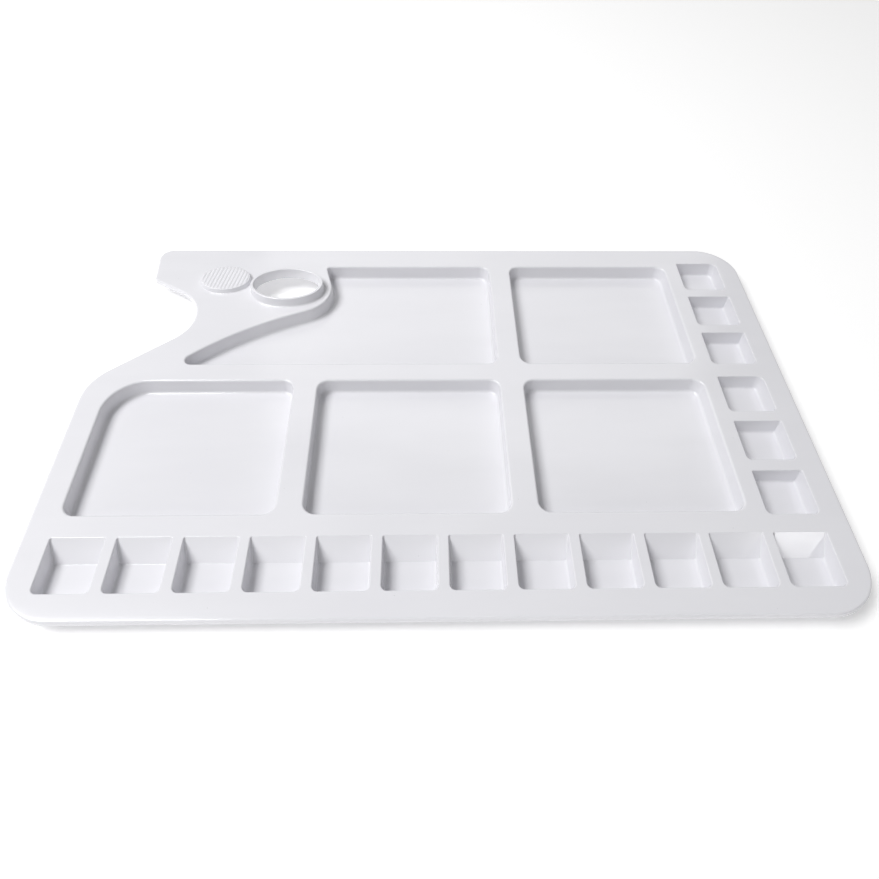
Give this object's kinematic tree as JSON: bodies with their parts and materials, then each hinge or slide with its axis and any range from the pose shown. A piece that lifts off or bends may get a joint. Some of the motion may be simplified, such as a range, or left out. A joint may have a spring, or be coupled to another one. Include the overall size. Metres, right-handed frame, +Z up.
{
  "type": "mixing palette",
  "caption": "Thin white moulded paint palette with a thumb hole, a finger notch, broad mixing pans and square paint wells along two edges.",
  "frame": {"origin": "centre of the outline's rectangle, on the surface that the pans and wells stand on", "axes": "+X along the long side, from the thumb hole's end to the side wells; +Y away from the painter, from the long row of wells to the rear edge; +Z up"},
  "size_m": [0.34, 0.224, 0.014],
  "materials": {
    "white_polystyrene": "glossy injection-moulded white polystyrene with fine handling scratches"
  },
  "bodies": {
    "root": {"deck_plate": "white_polystyrene", "edge_rim": "white_polystyrene", "thumb_ring": "white_polystyrene", "thumb_rest": "white_polystyrene", "paint_well_front_01": "white_polystyrene", "paint_well_front_02": "white_polystyrene", "paint_well_front_03": "white_polystyrene", "paint_well_front_04": "white_polystyrene", "paint_well_front_05": "white_polystyrene", "paint_well_front_06": "white_polystyrene", "paint_well_front_07": "white_polystyrene", "paint_well_front_08": "white_polystyrene", "paint_well_front_09": "white_polystyrene", "paint_well_front_10": "white_polystyrene", "paint_well_front_11": "white_polystyrene", "paint_well_front_12": "white_polystyrene", "paint_well_side_01": "white_polystyrene", "paint_well_side_02": "white_polystyrene", "paint_well_side_03": "white_polystyrene", "paint_well_side_04": "white_polystyrene", "paint_well_side_05": "white_polystyrene", "paint_well_side_06": "white_polystyrene", "mixing_pan_front_left": "white_polystyrene", "mixing_pan_front_middle": "white_polystyrene", "mixing_pan_front_right": "white_polystyrene", "mixing_pan_rear_right": "white_polystyrene", "mixing_pan_rear_left": "white_polystyrene"}
  },
  "joints": []
}
